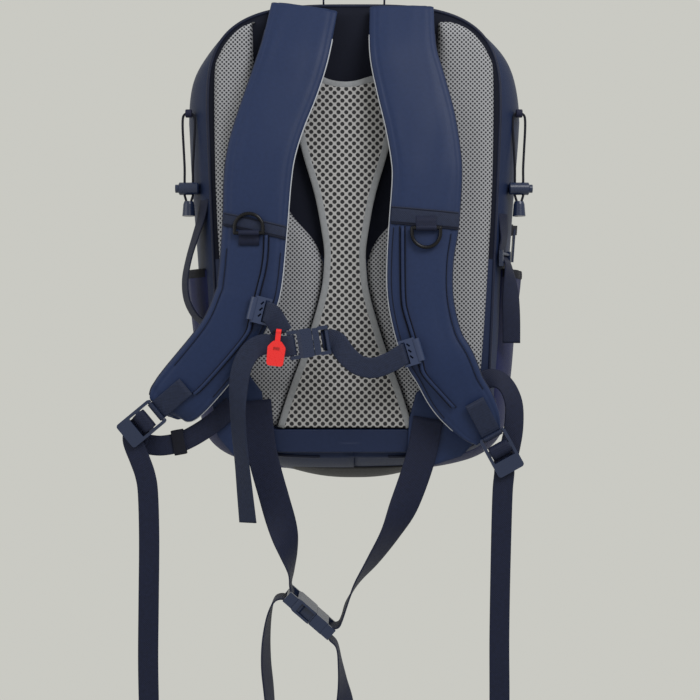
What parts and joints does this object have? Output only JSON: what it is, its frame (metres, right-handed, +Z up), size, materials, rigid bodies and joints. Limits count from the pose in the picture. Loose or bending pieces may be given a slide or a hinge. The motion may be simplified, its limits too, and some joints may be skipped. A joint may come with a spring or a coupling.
{
  "type": "hiking daypack",
  "caption": "Ventilated hiking daypack with padded shoulder straps, mesh back, sternum strap with whistle, hip belt, side pockets and a zipped front.",
  "frame": {"origin": "inside top of the haul loop, on the middle of its webbing", "axes": "+Z up, +X to the right as seen from the harness side, +Y from the harness into the bag"},
  "size_m": [0.4136, 0.2654, 0.7922],
  "materials": {
    "pack_fabric": "smooth navy woven polyester",
    "strap_fabric": "smooth navy woven polyester over foam",
    "fine_mesh": "light grey fine-holed spacer mesh",
    "coarse_mesh": "light grey coarse-holed mesh",
    "binding": "grey binding tape",
    "webbing": "dark navy ribbed webbing",
    "stretch": "shiny navy stretch fabric",
    "piping": "dark navy piping",
    "black_fabric": "black woven fabric",
    "elastic": "black elastic cord",
    "hardware": "dark moulded acetal",
    "black_hardware": "black moulded plastic",
    "whistle": "glossy red plastic",
    "sheet": "white polyethylene sheet",
    "wire": "satin aluminium rod",
    "zip": "nylon coil on woven tape"
  },
  "bodies": {
    "bag": {"bag_shell": "pack_fabric", "frame_sheet": "sheet", "frame_wire": "wire", "hydration_sleeve": "pack_fabric", "rim_piping": "piping", "back_pad_left": "fine_mesh", "back_pad_right": "fine_mesh", "mesh_panel": "coarse_mesh", "mesh_binding": "binding", "lumbar_strip": "pack_fabric", "haul_loop": "webbing", "shoulder_pad_left": "strap_fabric", "shoulder_pad_right": "strap_fabric", "sternum_rails": "strap_fabric", "strap_tabs": "webbing", "shoulder_webbing_left": "webbing", "shoulder_webbing_right": "webbing", "shoulder_tail_left": "webbing", "shoulder_tail_right": "webbing", "webbing_keeper": "elastic", "corner_wings": "pack_fabric", "hip_webbing_left": "webbing", "hip_webbing_right": "webbing", "side_pocket_left": "stretch", "side_pocket_right": "stretch", "compression_strap_left": "webbing", "compression_strap_right": "webbing", "compression_locks": "black_hardware", "cord_tabs": "webbing", "bungee_left": "elastic", "bungee_right": "elastic", "cord_bells": "black_hardware", "zip_chain": "zip", "pole_loops": "webbing", "rain_pocket": "black_fabric", "front_pocket": "stretch", "hip_female": "black_hardware"},
    "front_panel": {"front_panel": "pack_fabric", "flap_zip_chain": "zip"},
    "zip_slider": {"zip_slider": "black_hardware"},
    "zip_pull": {"zip_pull": "hardware"},
    "d_ring_left": {"d_ring_left": "black_hardware"},
    "d_ring_right": {"d_ring_right": "black_hardware"},
    "sternum_strap": {"sternum_webbing_left": "webbing", "sternum_webbing_right": "webbing", "sternum_tail": "webbing", "sternum_female": "hardware", "whistle_loop": "webbing"},
    "rail_slider_left": {"rail_slider_left": "hardware"},
    "rail_slider_right": {"rail_slider_right": "hardware"},
    "sternum_male": {"sternum_male": "hardware"},
    "whistle": {"whistle": "whistle"},
    "hip_male": {"hip_male": "black_hardware"},
    "ladder_lock_left": {"ladder_lock_left": "hardware"},
    "ladder_lock_right": {"ladder_lock_right": "hardware"},
    "cord_lock_left": {"cord_lock_left": "black_hardware"},
    "cord_lock_right": {"cord_lock_right": "black_hardware"},
    "cord_button_left": {"cord_button_left": "black_hardware"},
    "cord_button_right": {"cord_button_right": "black_hardware"}
  },
  "joints": [
    {"name": "front_panel_fold", "type": "hinge", "parent": "bag", "child": "front_panel", "pos_m": [0, 0.14766, -0.282], "axis": [-1, 0, 0], "range_deg": [0, 75]},
    {"name": "zip_travel", "type": "slide", "parent": "bag", "child": "zip_slider", "axis": [0.0626, -0.0697, 0.9956], "range_m": [0, 0.1]},
    {"name": "zip_pull_swing", "type": "hinge", "parent": "zip_slider", "child": "zip_pull", "pos_m": [0.17121, 0.06532, -0.26638], "axis": [-0.0044, -0.9976, -0.0697], "range_deg": [0, 150]},
    {"name": "ring_swing_left", "type": "hinge", "parent": "bag", "child": "d_ring_left", "pos_m": [-0.1018, -0.05655, -0.281], "axis": [1, 0, 0], "range_deg": [0, 165]},
    {"name": "ring_swing_right", "type": "hinge", "parent": "bag", "child": "d_ring_right", "pos_m": [0.0696, -0.05655, -0.276], "axis": [-1, 0, 0], "range_deg": [0, 165]},
    {"name": "sternum_height", "type": "slide", "parent": "bag", "child": "sternum_strap", "axis": [0, 0, 1], "range_m": [0, 0.024]},
    {"name": "rail_shift_left", "type": "slide", "parent": "sternum_strap", "child": "rail_slider_left", "axis": [1, 0, 0], "range_m": [0, 0.0062], "deforming": ["sternum_webbing_left"]},
    {"name": "rail_shift_right", "type": "slide", "parent": "sternum_strap", "child": "rail_slider_right", "axis": [-1, 0, 0], "range_m": [0, 0.0073], "deforming": ["sternum_webbing_right"]},
    {"name": "sternum_release", "type": "slide", "parent": "sternum_strap", "child": "sternum_male", "axis": [0.9877, 0, 0.1564], "range_m": [0, 0.022], "deforming": ["sternum_webbing_right"]},
    {"name": "whistle_swing", "type": "hinge", "parent": "sternum_strap", "child": "whistle", "pos_m": [-0.072, -0.0696, -0.3765], "axis": [-0.9925, 0, 0.1219], "range_deg": [0, 50]},
    {"name": "hip_release", "type": "slide", "parent": "bag", "child": "hip_male", "axis": [0.7559, 0, -0.6547], "range_m": [0, 0.032], "deforming": ["hip_webbing_right"]},
    {"name": "lock_tilt_left", "type": "hinge", "parent": "bag", "child": "ladder_lock_left", "pos_m": [-0.1926, -0.045, -0.4536], "axis": [-0.6388, 0, 0.7694], "range_deg": [0, 25], "deforming": ["shoulder_webbing_left", "shoulder_tail_left"]},
    {"name": "lock_tilt_right", "type": "hinge", "parent": "bag", "child": "ladder_lock_right", "pos_m": [0.1347, -0.045, -0.4775], "axis": [-0.8771, 0, -0.4802], "range_deg": [0, 25], "deforming": ["shoulder_webbing_right", "shoulder_tail_right"]},
    {"name": "cord_lock_travel_left", "type": "slide", "parent": "bag", "child": "cord_lock_left", "axis": [0, 0, 1], "range_m": [0, 0.012]},
    {"name": "cord_lock_travel_right", "type": "slide", "parent": "bag", "child": "cord_lock_right", "axis": [0, 0, 1], "range_m": [0, 0.012]},
    {"name": "cord_button_press_left", "type": "slide", "parent": "cord_lock_left", "child": "cord_button_left", "axis": [1, 0, 0], "range_m": [0, 0.003], "stiffness_N_per_m": 400, "springref_m": -0.002},
    {"name": "cord_button_press_right", "type": "slide", "parent": "cord_lock_right", "child": "cord_button_right", "axis": [-1, 0, 0], "range_m": [0, 0.003], "stiffness_N_per_m": 400, "springref_m": -0.002}
  ],
  "couplings": [
    {"joint": "rail_shift_left", "follows": "sternum_height", "ratio": 0.25},
    {"joint": "rail_shift_right", "follows": "sternum_height", "ratio": 0.3}
  ]
}
